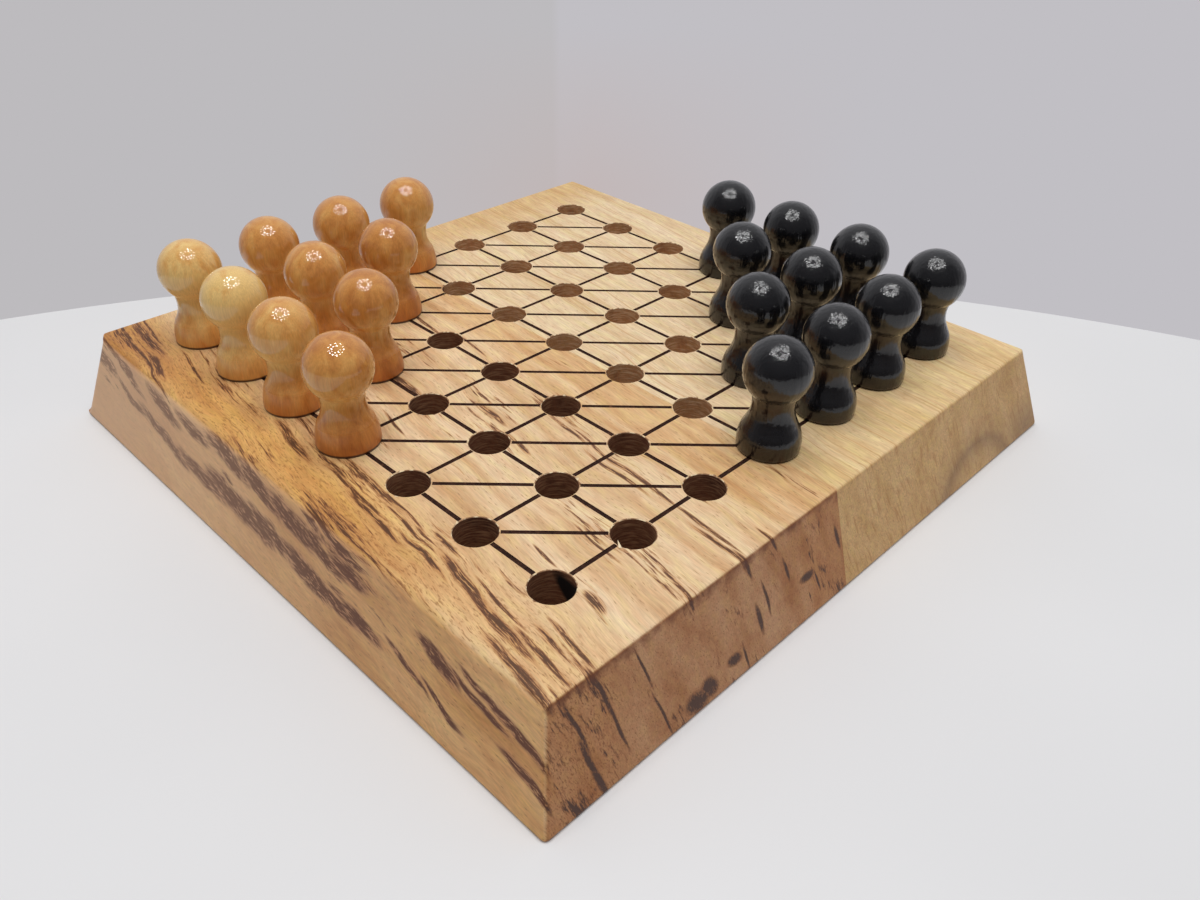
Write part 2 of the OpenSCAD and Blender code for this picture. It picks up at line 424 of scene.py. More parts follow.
# The golden wood along the left edge and beside the joint, whose border waves with the growth bands
border = add(
    tree, "ShaderNodeMath", {0: wood["bands"], 1: 14 * MM, 2: parts.outputs["X"]}, operation="MULTIPLY_ADD"
).outputs[0]
joint = add(
    tree, "ShaderNodeMapRange",
    {"Value": border, "From Min": -14 * MM, "From Max": -4 * MM, "To Min": 0.0, "To Max": 0.4},
).outputs[0]
hem = add(
    tree, "ShaderNodeMapRange",
    {"Value": border, "From Min": -46 * MM, "From Max": -57 * MM, "To Min": 0.0, "To Max": 1.0},
).outputs[0]
rich = add(tree, "ShaderNodeMath", {0: side, 1: -0.3, 2: 1.0}, operation="MULTIPLY_ADD").outputs[0]
rich = add(tree, "ShaderNodeMath", {0: rich, 1: hem}, operation="MULTIPLY").outputs[0]
behind_front = add(
    tree, "ShaderNodeMapRange",
    {"Value": parts.outputs["Y"], "From Min": -60 * MM, "From Max": -15 * MM, "To Min": 0.4, "To Max": 1.0},
).outputs[0]
behind_front = add(tree, "ShaderNodeMath", {0: behind_front, 1: side}, operation="MAXIMUM").outputs[0]
rich = add(tree, "ShaderNodeMath", {0: rich, 1: behind_front}, operation="MULTIPLY").outputs[0]
rich = add(tree, "ShaderNodeMath", {0: rich, 1: joint}, operation="MAXIMUM").outputs[0]
golden = add(
    tree, "ShaderNodeMix", {0: rich, 6: wood["colour"], 7: colour("#f3daa6")}, blend_type="MULTIPLY",
    **blend_colours
).outputs[2]
rear = add(
    tree, "ShaderNodeMapRange",
    {"Value": parts.outputs["Y"], "From Min": 30 * MM, "From Max": 58 * MM, "To Min": 0.0, "To Max": 1.0},
).outputs[0]
rear = add(tree, "ShaderNodeMath", {0: rear, 1: hem}, operation="MULTIPLY").outputs[0]
golden = add(
    tree, "ShaderNodeMix", {0: rear, 6: golden, 7: colour("#eae0d8")}, blend_type="MULTIPLY", **blend_colours
).outputs[2]
# Brown specks in the golden wood, on the playing face and the end
specks = add(tree, "ShaderNodeMapping", {"Vector": wood["grain"], "Scale": per_mm(0.3, 1.3, 0.6)}).outputs[0]
specks = add(tree, "ShaderNodeTexNoise", {"Vector": specks, "Scale": 1.0, "Detail": 2.0}).outputs["Fac"]
specks = add(
    tree, "ShaderNodeMapRange",
    {"Value": specks, "From Min": 0.56, "From Max": 0.68, "To Min": 0.0, "To Max": 0.6},
).outputs[0]
specks = add(tree, "ShaderNodeMath", {0: specks, 1: hem}, operation="MULTIPLY").outputs[0]
off_side = add(tree, "ShaderNodeMath", {0: 1.0, 1: side}, operation="SUBTRACT").outputs[0]
specks = add(tree, "ShaderNodeMath", {0: specks, 1: off_side}, operation="MULTIPLY").outputs[0]
golden = add(tree, "ShaderNodeMix", {0: specks, 6: golden, 7: colour("#8a5526")}, **blend_colours).outputs[2]
# The bold streaks, each fading from its middle outwards
streaks = 0.0
for middle, half in streak_places():
    centre = Vector((LAYERS.dot(middle), middle[1], middle[2])) * MM
    near = add(
        tree, "ShaderNodeMapping",
        {"Vector": wood["grain"], "Location": centre, "Scale": Vector(half) * MM * 1.5},
        vector_type="TEXTURE",
    ).outputs[0]
    near = add(tree, "ShaderNodeTexGradient", {"Vector": near}, gradient_type="SPHERICAL").outputs["Fac"]
    streaks = add(tree, "ShaderNodeMath", {0: streaks, 1: near}, operation="MAXIMUM").outputs[0]
# Fine streaks in loose groups everywhere, but for the lower half and the near part of the side
fine = add(tree, "ShaderNodeMapping", {"Vector": wood["grain"], "Scale": per_mm(0.7, 9, 3)}).outputs[0]
fine = add(
    tree, "ShaderNodeTexNoise", {"Vector": fine, "Scale": 1.0, "Detail": 3.0, "Roughness": 0.6}
).outputs["Fac"]
groups = add(tree, "ShaderNodeMapping", {"Vector": wood["grain"], "Scale": per_mm(6, 30, 8)}).outputs[0]
groups = add(tree, "ShaderNodeTexNoise", {"Vector": groups, "Scale": 1.0, "Detail": 1.0}).outputs["Fac"]
fine = add(tree, "ShaderNodeMath", {0: groups, 1: 0.9, 2: fine}, operation="MULTIPLY_ADD").outputs[0]
fine = add(tree, "ShaderNodeMath", {0: hem, 1: 0.1, 2: fine}, operation="MULTIPLY_ADD").outputs[0]
fine = add(
    tree, "ShaderNodeMapRange",
    {"Value": fine, "From Min": 1.1, "From Max": 1.38, "To Min": 0.0, "To Max": 0.8},
).outputs[0]
calm = add(
    tree, "ShaderNodeMapRange",
    {"Value": parts.outputs["Z"], "From Min": 12 * MM, "From Max": 6 * MM, "To Min": 0.0, "To Max": 1.0},
).outputs[0]
clean = add(
    tree, "ShaderNodeMapRange",
    {"Value": parts.outputs["Y"], "From Min": -25 * MM, "From Max": -50 * MM, "To Min": 0.0, "To Max": 0.8},
).outputs[0]
calm = add(tree, "ShaderNodeMath", {0: calm, 1: clean}, operation="MAXIMUM").outputs[0]
calm = add(tree, "ShaderNodeMath", {0: calm, 1: side}, operation="MULTIPLY").outputs[0]
calm = add(tree, "ShaderNodeMath", {0: 1.0, 1: calm}, operation="SUBTRACT").outputs[0]
fine = add(tree, "ShaderNodeMath", {0: fine, 1: calm}, operation="MULTIPLY").outputs[0]
streaks = add(tree, "ShaderNodeMath", {0: streaks, 1: fine}, operation="MAXIMUM").outputs[0]
# Both kinds break up along the strands of the wood, less so on the cut end
strands = add(
    tree, "ShaderNodeMapping", {"Vector": wood["grain"], "Scale": per_mm(0.24, 3.5, 0.6)}
).outputs[0]
strands = add(
    tree, "ShaderNodeTexNoise", {"Vector": strands, "Scale": 1.0, "Detail": 3.0, "Roughness": 0.65}
).outputs["Fac"]
feather = add(
    tree, "ShaderNodeMapRange",
    {"Value": strands, "From Min": 0.34, "From Max": 0.57, "To Min": 0.0, "To Max": 1.7},
).outputs[0]
soft = add(tree, "ShaderNodeMath", {0: cut_end, 1: 0.5}, operation="MULTIPLY").outputs[0]
feather = add(tree, "ShaderNodeMix", {0: soft, 2: feather, 3: 1.2}).outputs[0]
ragged = add(tree, "ShaderNodeMath", {0: streaks, 1: feather}, operation="MULTIPLY").outputs[0]
# The stain round the streaks, then the tints of the side, which fades towards the far end, and of the cut end
halo = add(
    tree, "ShaderNodeMapRange", {"Value": streaks, "From Min": 0.02, "From Max": 0.35, "To Max": 0.6}
).outputs[0]
halo_tone = add(
    tree, "ShaderNodeMix", {0: side, 6: colour("#c08a52"), 7: colour("#a8745a")}, **blend_colours
).outputs[2]
stained = add(tree, "ShaderNodeMix", {0: halo, 6: golden, 7: halo_tone}, **blend_colours).outputs[2]
tinted = add(
    tree, "ShaderNodeMix", {0: side, 6: stained, 7: colour("#fff7f5")}, blend_type="MULTIPLY", **blend_colours
).outputs[2]
faded = add(
    tree, "ShaderNodeMapRange",
    {"Value": parts.outputs["Y"], "From Min": -50 * MM, "From Max": 60 * MM, "To Min": 0.0, "To Max": 0.6},
).outputs[0]
faded = add(tree, "ShaderNodeMath", {0: faded, 1: side}, operation="MULTIPLY").outputs[0]
tinted = add(tree, "ShaderNodeMix", {0: faded, 6: tinted, 7: colour("#f3cba4")}, **blend_colours).outputs[2]
tinted = add(
    tree, "ShaderNodeMix", {0: cut_end, 6: tinted, 7: colour("#d6b9a9")}, blend_type="MULTIPLY",
    **blend_colours
).outputs[2]
# The streaks' own colour, laid over the wood
streak_tone = add(
    tree, "ShaderNodeValToRGB", {"Fac": ragged},
    stops=[(0.2, colour("#a5642f")), (0.45, colour("#6d3a24")), (0.9, colour("#3f1e13"))],
).outputs["Color"]
streak_tone = add(
    tree, "ShaderNodeMix", {0: cut_end, 6: streak_tone, 7: colour("#402e2c")}, **blend_colours
).outputs[2]
streak_tone = add(
    tree, "ShaderNodeMix", {0: side, 6: streak_tone, 7: colour("#552a1d")}, **blend_colours
).outputs[2]
strength = add(tree, "ShaderNodeMath", {0: faded, 1: -0.55, 2: 0.88}, operation="MULTIPLY_ADD").outputs[0]
streak_edge = add(
    tree, "ShaderNodeMapRange", {"Value": ragged, "From Min": 0.12, "From Max": 0.6, "To Max": strength}
).outputs[0]
marked = add(tree, "ShaderNodeMix", {0: streak_edge, 6: tinted, 7: streak_tone}, **blend_colours).outputs[2]
# A ragged burn along the upper edge of the cut end
burn = add(tree, "ShaderNodeTexNoise", {"Vector": place, "Scale": 500.0, "Detail": 3.0}).outputs["Fac"]
burn = add(
    tree, "ShaderNodeMath", {0: burn, 1: 5 * MM, 2: parts.outputs["Z"]}, operation="MULTIPLY_ADD"
).outputs[0]
burn = add(
    tree, "ShaderNodeMapRange",
    {"Value": burn, "From Min": 19.6 * MM, "From Max": 21.6 * MM, "To Min": 0.0, "To Max": 0.8},
).outputs[0]
burn = add(tree, "ShaderNodeMath", {0: burn, 1: cut_end}, operation="MULTIPLY").outputs[0]
burnt = add(tree, "ShaderNodeMix", {0: burn, 6: marked, 7: colour("#6e3a22")}, **blend_colours).outputs[2]
oil_finish(tree, surface, burnt, wood)

# Black streaks on the walls of two holes: place across and along the grain, half width and half length
HOLE_STREAKS = [(-50.3, -54.5, 1.3, 5), (-18.4, 17.5, 0.9, 4)]
STREAK_DEPTH = 9
WALL_MIDDLE = BOARD_T - HOLE_DEPTH / 2


def hole_wall(name, dark, mid, pale):
    """Cut fibres inside the drilled holes: dry and darker, finely lined round the wall, with black streaks"""
    material, tree, surface, place = new_material(name)
    wood = sawn_wood(tree, place, mid, mid, dark, dark)
    hatch = add(tree, "ShaderNodeMapping", {"Vector": place, "Scale": per_mm(2.5, 2.5, 0.3)}).outputs[0]
    hatch = add(tree, "ShaderNodeTexNoise", {"Vector": hatch, "Scale": 1.0, "Detail": 2.0}).outputs["Fac"]
    hatch = add(
        tree, "ShaderNodeMapRange",
        {"Value": hatch, "From Min": 0.45, "From Max": 0.75, "To Min": 0.0, "To Max": 0.9},
    ).outputs[0]
    hatched = add(tree, "ShaderNodeMix", {0: hatch, 6: wood["colour"], 7: pale}, **blend_colours).outputs[2]
    for x, y, thin, long in HOLE_STREAKS:
        centre = Vector((LAYERS.dot((x, y, WALL_MIDDLE)), y, WALL_MIDDLE)) * MM
        near = add(
            tree, "ShaderNodeMapping",
            {"Vector": wood["grain"], "Location": centre, "Scale": Vector((thin, long, STREAK_DEPTH)) * MM},
            vector_type="TEXTURE",
        ).outputs[0]
        near = add(tree, "ShaderNodeTexGradient", {"Vector": near}, gradient_type="SPHERICAL").outputs["Fac"]
        near = add(
            tree, "ShaderNodeMapRange", {"Value": near, "From Min": 0.1, "From Max": 0.4}
        ).outputs[0]
        hatched = add(
            tree, "ShaderNodeMix", {0: near, 6: hatched, 7: colour("#0d0705")}, **blend_colours
        ).outputs[2]
    tree.links.new(hatched, surface.inputs["Base Color"])
    surface.inputs["Roughness"].default_value = 0.8
    return material


streaked_hole_material = hole_wall(
    "streaked_hole_wall", colour("#5f3a27"), colour("#80543a"), colour("#b88c66")
)

# Freshly cut wood at the rim of a hole, pale where the finish was rubbed off and darkened elsewhere
rim_material, tree, surface, place = new_material("raw_wood_rim")
grit = add(tree, "ShaderNodeTexNoise", {"Vector": place, "Scale": 900.0, "Detail": 2.0}).outputs["Fac"]
grit = add(
    tree, "ShaderNodeValToRGB", {"Fac": grit}, stops=[(0.48, colour("#8d6442")), (0.62, colour("#ead3aa"))]
).outputs["Color"]
tree.links.new(grit, surface.inputs["Base Color"])
surface.inputs["Roughness"].default_value = 0.7

# The scored lines are scorched dark brown, a little paler where they cross hard fibres
line_material, tree, surface, place = new_material("scorched_line")
char = add(tree, "ShaderNodeTexNoise", {"Vector": place, "Scale": 1200.0, "Detail": 4.0}).outputs["Fac"]
char = add(
    tree, "ShaderNodeValToRGB", {"Fac": char},
    stops=[(0.35, colour("#281712")), (0.6, colour("#3b241b")), (0.8, colour("#654330"))],
).outputs["Color"]
tree.links.new(char, surface.inputs["Base Color"])
surface.inputs["Roughness"].default_value = 0.8
surface.inputs["Specular IOR Level"].default_value = 0.1

streaked = cut_plank(
    "streaked_plank_wood", -1, [streaked_material, streaked_hole_material, rim_material, line_material]
)
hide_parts("streaked_plank")
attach(streaked, "board")

# A splinter that the drill left standing at the rim of one hole, where a line runs into it
SPLINTER_FOOT = Vector((-40.2, -55.1, BOARD_T))
SPLINTER_TIP = Vector((-38.8, -53.2, BOARD_T - 0.3))
SPLINTER_W = 0.55
SPLINTER_T = 0.3
SPLINTER_TAPER = (1, 0.15, 0.3)
SPLINTER_EDGE = 0.03
bm = bmesh.new()
middle = (SPLINTER_FOOT + SPLINTER_TIP) / 2
way = SPLINTER_TIP - SPLINTER_FOOT
lie = Matrix.Translation(middle * MM) @ way.to_track_quat("X", "Z").to_matrix().to_4x4()
size = Matrix.Diagonal((way.length * MM, SPLINTER_W * MM, SPLINTER_T * MM, 1))
bmesh.ops.create_cube(bm, size=1, matrix=lie @ size)
tip = [v for v in bm.verts if (lie.inverted() @ v.co).x > 0]
bmesh.ops.scale(bm, vec=SPLINTER_TAPER, verts=tip, space=lie.inverted())
bmesh.ops.bevel(
    bm, geom=bm.edges[:], offset=SPLINTER_EDGE * MM, offset_type="OFFSET", segments=1, profile=0.5,
    affect="EDGES", material=-1,
)
splinter = new_mesh("splinter_at_hole", bm)
splinter_material, tree, surface, place = new_material("torn_pale_wood")
grit = add(tree, "ShaderNodeTexNoise", {"Vector": place, "Scale": 3000.0, "Detail": 2.0}).outputs["Fac"]
grit = add(
    tree, "ShaderNodeValToRGB", {"Fac": grit}, stops=[(0.4, colour("#e2c79d")), (0.6, colour("#f1dfbd"))]
).outputs["Color"]
tree.links.new(grit, surface.inputs["Base Color"])
surface.inputs["Roughness"].default_value = 0.7
splinter.data.materials.append(splinter_material)
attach(splinter, "board")

# The plain half of the board
# A calmer, yellower plank with faint straight grain and a few specks, darker in an arc of growth rings on its
# end. It is glued to the streaked one 2 mm off the middle of the board, so the drill went through the joint.

# Oiled pale hardwood: satin, with brown lines along the grain, yellower towards the near end
plain_material, tree, surface, place = new_material("plain_hardwood_oiled")
wood = sawn_wood(
    tree, place, colour("#f0dec0"), colour("#ead5b2"), colour("#dec59a"), colour("#a57f4e")
)
lines = add(tree, "ShaderNodeMapping", {"Vector": wood["grain"], "Scale": per_mm(0.5, 60, 4)}).outputs[0]
lines = add(tree, "ShaderNodeTexNoise", {"Vector": lines, "Scale": 1.0, "Detail": 2.0}).outputs["Fac"]
lines = add(
    tree, "ShaderNodeMapRange",
    {"Value": lines, "From Min": 0.56, "From Max": 0.68, "To Min": 0.0, "To Max": 0.5},
).outputs[0]
lined = add(
    tree, "ShaderNodeMix", {0: lines, 6: wood["colour"], 7: colour("#c4935c")}, **blend_colours
).outputs[2]
parts = add(tree, "ShaderNodeSeparateXYZ", {"Vector": place})
front = add(
    tree, "ShaderNodeMapRange",
    {"Value": parts.outputs["Y"], "From Min": -40 * MM, "From Max": -66 * MM, "To Min": 0.0, "To Max": 1.0},
).outputs[0]
yellowed = add(
    tree, "ShaderNodeMix", {0: front, 6: lined, 7: colour("#fcf6e3")}, blend_type="MULTIPLY", **blend_colours
).outputs[2]
rear = add(
    tree, "ShaderNodeMapRange",
    {"Value": parts.outputs["Y"], "From Min": 50 * MM, "From Max": 64 * MM, "To Min": 0.0, "To Max": 1.0},
).outputs[0]
yellowed = add(
    tree, "ShaderNodeMix", {0: rear, 6: yellowed, 7: colour("#f2e4cc")}, blend_type="MULTIPLY",
    **blend_colours
).outputs[2]
cut_end = wood["cut end"]
tinted = add(
    tree, "ShaderNodeMix", {0: cut_end, 6: yellowed, 7: colour("#efe1d3")}, blend_type="MULTIPLY",
    **blend_colours
).outputs[2]
# The dark arc of growth rings low on the cut end, and the dark corner beyond it
ring = add(
    tree, "ShaderNodeMapping",
    {"Vector": place, "Location": (47 * MM, 0, -4 * MM), "Scale": (15.2 * MM, 1, 11.5 * MM)},
    vector_type="TEXTURE",
).outputs[0]
ring = add(tree, "ShaderNodeVectorMath", {0: ring, 1: (0.5, 0, 0.5)}, operation="MULTIPLY").outputs[0]
ring = add(tree, "ShaderNodeVectorMath", {0: ring}, operation="LENGTH").outputs["Value"]
ring = add(
    tree, "ShaderNodeValToRGB", {"Fac": ring},
    stops=[(0.2, 0.0), (0.36, 0.35), (0.48, 0.95), (0.56, 0.35), (0.75, 0.0)],
).outputs["Color"]
corner = add(
    tree, "ShaderNodeMapping",
    {"Vector": place, "Location": (70 * MM, -75 * MM, 2 * MM), "Scale": (15 * MM, 60 * MM, 8 * MM)},
    vector_type="TEXTURE",
).outputs[0]
corner = add(tree, "ShaderNodeTexGradient", {"Vector": corner}, gradient_type="SPHERICAL").outputs["Fac"]
ring = add(tree, "ShaderNodeMath", {0: ring, 1: corner}, operation="MAXIMUM").outputs[0]
ring = add(tree, "ShaderNodeMath", {0: ring, 1: cut_end}, operation="MULTIPLY").outputs[0]
ring = add(tree, "ShaderNodeMath", {0: ring, 1: wood["fibres"]}, operation="MULTIPLY").outputs[0]
ringed = add(tree, "ShaderNodeMix", {0: ring, 6: tinted, 7: colour("#5f3c34")}, **blend_colours).outputs[2]
oil_finish(tree, surface, ringed, wood)
plain_hole_material = hole_wall("plain_hole_wall", colour("#a1744f"), colour("#c89b70"), colour("#efd2a8"))
plain = cut_plank(
    "plain_plank_wood", 1, [plain_material, plain_hole_material, rim_material, line_material]
)
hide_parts("plain_plank")
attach(plain, "board")
for tool in (blank, cutter):
    bpy.data.objects.remove(tool)

# The natural pegs
# Ten pegs turned from a close-grained wood and dipped in clear lacquer, each with a ball head, a hollowed
# neck, a bell-shaped foot with a crisp lower edge and a tenon for its hole. Each has its own colour.
TENON_GAP = 0.3
TENON_CLEAR = 2
TENON_R = HOLE_R - TENON_GAP
TENON_LEN = HOLE_DEPTH - TENON_CLEAR
TENON_CHAMFER = 0.6
FOOT_R = 5.95
HEAD_R = 6.3
HEAD_RISE = 6.8
NECK_R = 4
COVE_R = 7
BELL_R = 13
BELL_H = 0.4
NATURAL_FOOT = {"side": ((FOOT_R - BELL_R, BELL_H), BELL_R), "edge": 0.3, "waist": 8.6}
CAMP_ROWS = 4
NATURAL_HOLES = [(HOLES - 1 - row + k, k) for row in range(CAMP_ROWS) for k in range(row + 1)]
NATURAL_TONES = [0.2, 0.0, 0.65, 0.5, 0.65, 0.65, 0.8, 0.85, 0.85, 0.65]
# The shades up a peg are given as shares of this height above the board, a little more than the peg's own
SHADED_H = 24


def crossings(first, second):
    """The two points where two circles meet, each circle given as its centre and radius"""
    (ax, ay), ar = first
    (bx, by), br = second
    apart = math.hypot(bx - ax, by - ay)
    along = (apart**2 + ar**2 - br**2) / (2 * apart)
    aside = math.sqrt(max(ar**2 - along**2, 0))
    ux, uy = (bx - ax) / apart, (by - ay) / apart
    return [(ax + along * ux - s * aside * uy, ay + along * uy + s * aside * ux) for s in (-1, 1)]


def arc(centre, start, end, steps):
    """Points round a centre from one point to another, the short way, without the first"""
    a = math.atan2(start[1] - centre[1], start[0] - centre[0])
    b = math.atan2(end[1] - centre[1], end[0] - centre[0])
    turn = (b - a + math.pi) % (2 * math.pi) - math.pi
    reach = math.dist(centre, start)
    return [
        (centre[0] + reach * math.cos(t), centre[1] + reach * math.sin(t))
        for t in (a + turn * k / steps for k in range(1, steps + 1))
    ]


def turned_peg(name, hole, side, edge, waist):
    """A peg turned about the axis of its hole; its foot has a round side and an edge and ends at the waist"""
    head = ((0, waist + HEAD_RISE), HEAD_R)
    cove = ((NECK_R + COVE_R, waist), COVE_R)
    shoulder = min(crossings(side, cove), key=lambda p: p[1])
    crease = min(crossings(head, cove), key=lambda p: p[1])
    widest = (FOOT_R, side[0][1])
    profile = [(0, -TENON_LEN), (TENON_R - TENON_CHAMFER, -TENON_LEN), (TENON_R, TENON_CHAMFER - TENON_LEN)]
    profile += [(TENON_R, 0), (FOOT_R - edge, 0)]
    profile += arc((FOOT_R - edge, edge), (FOOT_R - edge, 0), (FOOT_R, edge), 6) + [widest]
    profile += arc(side[0], widest, shoulder, 8) + arc(cove[0], shoulder, crease, 14)
    profile += arc(head[0], crease, (0, waist + HEAD_RISE + HEAD_R), 30)
    bm = bmesh.new()
    place = hole_at(*hole)
    line = [bm.verts.new(place + Vector((r, 0, z)) * MM) for r, z in profile]
    edges = [bm.edges.new(pair) for pair in zip(line, line[1:])]
    bmesh.ops.spin(
        bm, geom=line + edges, cent=place, axis=(0, 0, 1), angle=2 * math.pi, steps=64, use_merge=True
    )
    return new_mesh(name, bm)


def above_board(low, high, first=0.0, last=1.0):
    """What a Map Range node needs to go from one value to another between two heights above the board"""
    bounds = {"From Min": (BOARD_T + low) * MM, "From Max": (BOARD_T + high) * MM}
    return bounds | {"To Min": first, "To Max": last}


# Lacquered close-grained hardwood, turned: glossy over very fine upright fibres, cloudy, paler under the
# head, duller down the foot and redder and darker there, partly as painted warm light from the board, with a
# painted contact shadow along its lower edge. Each peg's own tone, from straw to amber, is stored in its
# mesh.
natural_material, tree, surface, place = new_material("lacquered_turned_wood")
tone = add(tree, "ShaderNodeAttribute", attribute_name="tone").outputs["Fac"]
clouds = add(tree, "ShaderNodeMapping", {"Vector": place, "Scale": per_mm(3, 3, 8)}).outputs[0]
clouds = add(
    tree, "ShaderNodeTexNoise", {"Vector": clouds, "Scale": 1.0, "Detail": 3.0, "Distortion": 1.0}
).outputs["Fac"]
clouds = add(tree, "ShaderNodeMath", {0: clouds, 1: 0.5}, operation="SUBTRACT").outputs[0]
tone = add(tree, "ShaderNodeMath", {0: clouds, 1: 1.4, 2: tone}, operation="MULTIPLY_ADD").outputs[0]
heights = add(tree, "ShaderNodeSeparateXYZ", {"Vector": place}).outputs["Z"]
share = add(tree, "ShaderNodeMapRange", {"Value": heights} | above_board(0, SHADED_H)).outputs[0]
under_head = add(
    tree, "ShaderNodeValToRGB", {"Fac": share},
    stops=[(0.3, 0.0), (0.42, 0.45), (0.52, 0.45), (0.72, 0.0)],
).outputs["Color"]
tone = add(tree, "ShaderNodeMath", {0: tone, 1: under_head}, operation="SUBTRACT").outputs[0]
tones = add(
    tree, "ShaderNodeValToRGB", {"Fac": tone},
    stops=[
        (0.0, colour("#ecc57c")), (0.35, colour("#e0aa60")), (0.7, colour("#d2924a")),
        (1.0, colour("#bd7a3a")),
    ],
).outputs["Color"]
fibres = add(tree, "ShaderNodeMapping", {"Vector": place, "Scale": per_mm(0.25, 0.25, 5)}).outputs[0]
fibres = add(tree, "ShaderNodeTexNoise", {"Vector": fibres, "Scale": 1.0, "Detail": 3.0}).outputs["Fac"]
fibre_shade = add(
    tree, "ShaderNodeMapRange",
    {"Value": fibres, "From Min": 0.3, "From Max": 0.7, "To Min": 0.88, "To Max": 1.08},
).outputs[0]
shaded = add(tree, "ShaderNodeVectorMath", {0: tones, "Scale": fibre_shade}, operation="SCALE").outputs[0]
# Redder and darker towards the board: partly the foot's own colour, partly painted warm light thrown up by
# the board
low = add(tree, "ShaderNodeMapRange", {"Value": heights} | above_board(8, 0)).outputs[0]
foot_bounce_tinted = add(
    tree, "ShaderNodeMix", {0: low, 6: shaded, 7: colour("#f4d2ac")}, blend_type="MULTIPLY", **blend_colours
).outputs[2]
# Painted contact shadow: a dark line round the foot's lower edge, where it stands on the board
contact_shadow = add(tree, "ShaderNodeMapRange", {"Value": heights} | above_board(0.62, 0.4, last=0.9)).outputs[0]
above_tenon = add(tree, "ShaderNodeMapRange", {"Value": heights} | above_board(-0.05, 0.05)).outputs[0]
contact_shadow = add(tree, "ShaderNodeMath", {0: contact_shadow, 1: above_tenon}, operation="MULTIPLY").outputs[0]
with_contact_shadow = add(tree, "ShaderNodeMix", {0: contact_shadow, 6: foot_bounce_tinted, 7: colour("#2c1408")}, **blend_colours).outputs[2]
tree.links.new(with_contact_shadow, surface.inputs["Base Color"])
surface.inputs["Roughness"].default_value = 0.5
surface.inputs["Specular IOR Level"].default_value = 0.1
surface.inputs["Coat Weight"].default_value = 1.0
dulled = add(tree, "ShaderNodeMapRange", {"Value": heights} | above_board(2, 9, 0.4, 0.05)).outputs[0]
tree.links.new(dulled, surface.inputs["Coat Roughness"])
surface.inputs["Coat IOR"].default_value = 1.54
ripple = add(tree, "ShaderNodeTexNoise", {"Vector": place, "Scale": 1100.0, "Detail": 2.0}).outputs["Fac"]
bump = add(
    tree, "ShaderNodeBump", {"Height": ripple, "Distance": 0.03 * MM, "Strength": 0.6}
).outputs["Normal"]
tree.links.new(bump, surface.inputs["Normal"])
tree.links.new(bump, surface.inputs["Coat Normal"])
for n, (hole, peg_tone) in enumerate(zip(NATURAL_HOLES, NATURAL_TONES), 1):
    peg = turned_peg(f"natural_peg_{n}_turned", hole, **NATURAL_FOOT)
    peg.data.materials.append(natural_material)
    stored = peg.data.attributes.new("tone", "FLOAT", "POINT")
    stored.data.foreach_set("value", [peg_tone] * len(peg.data.vertices))
    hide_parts(f"natural_peg_{n}")
    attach(peg, f"natural_peg_{n}")

# The black pegs
# Ten pegs of the other side, turned with a rounder foot, stained black and lacquered. The lacquer has dried
# lumpy. Brown at the neck and along the lower edge is partly wood showing through thin stain and partly a
# painted reflection of the wooden board.
BARREL_R = 6.3
BARREL_H = 2.0
BLACK_FOOT = {"side": ((FOOT_R - BARREL_R, BARREL_H), BARREL_R), "edge": 0.8, "waist": 9.2}
black_material, tree, surface, place = new_material("black_stained_lacquered_wood")
heights = add(tree, "ShaderNodeSeparateXYZ", {"Vector": place}).outputs["Z"]
share = add(tree, "ShaderNodeMapRange", {"Value": heights} | above_board(0, SHADED_H)).outputs[0]
# Brown at the neck and the lower edge, in worn patches: stain worn thin, with a painted reflection of the
# board
thin = add(
    tree, "ShaderNodeValToRGB", {"Fac": share},
    stops=[(0.0, 0.6), (0.05, 0.2), (0.12, 0.0), (0.33, 0.05), (0.42, 0.5), (0.5, 0.15), (0.6, 0.0)],
).outputs["Color"]
wear_and_reflection = add(tree, "ShaderNodeTexNoise", {"Vector": place, "Scale": 260.0, "Detail": 4.0}).outputs["Fac"]
wear_and_reflection = add(tree, "ShaderNodeMapRange", {"Value": wear_and_reflection, "From Min": 0.35, "From Max": 0.7}).outputs[0]
wear_and_reflection = add(tree, "ShaderNodeMath", {0: wear_and_reflection, 1: thin}, operation="MULTIPLY").outputs[0]
stain_and_reflection = add(
    tree, "ShaderNodeMix", {0: wear_and_reflection, 6: colour("#0e0e11"), 7: colour("#4e3021")}, **blend_colours
).outputs[2]
tree.links.new(stain_and_reflection, surface.inputs["Base Color"])
surface.inputs["Roughness"].default_value = 0.4
surface.inputs["Specular IOR Level"].default_value = 0.12
surface.inputs["Coat Weight"].default_value = 1.0
surface.inputs["Coat Roughness"].default_value = 0.1
surface.inputs["Coat IOR"].default_value = 1.52
ripple = add(tree, "ShaderNodeTexNoise", {"Vector": place, "Scale": 1500.0, "Detail": 2.0}).outputs["Fac"]
grooves = add(tree, "ShaderNodeMapping", {"Vector": place, "Scale": per_mm(0.8, 0.8, 9)}).outputs[0]
grooves = add(tree, "ShaderNodeTexNoise", {"Vector": grooves, "Scale": 1.0, "Detail": 2.0}).outputs["Fac"]
relief = add(tree, "ShaderNodeMath", {0: grooves, 1: 3.0, 2: ripple}, operation="MULTIPLY_ADD").outputs[0]
bump = add(
    tree, "ShaderNodeBump", {"Height": relief, "Distance": 0.05 * MM, "Strength": 0.7}
).outputs["Normal"]
tree.links.new(bump, surface.inputs["Normal"])
tree.links.new(bump, surface.inputs["Coat Normal"])
for n, (along, across) in enumerate(NATURAL_HOLES, 1):
    peg = turned_peg(f"black_peg_{n}_turned", (across, along), **BLACK_FOOT)
    peg.data.materials.append(black_material)
    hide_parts(f"black_peg_{n}")
    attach(peg, f"black_peg_{n}")

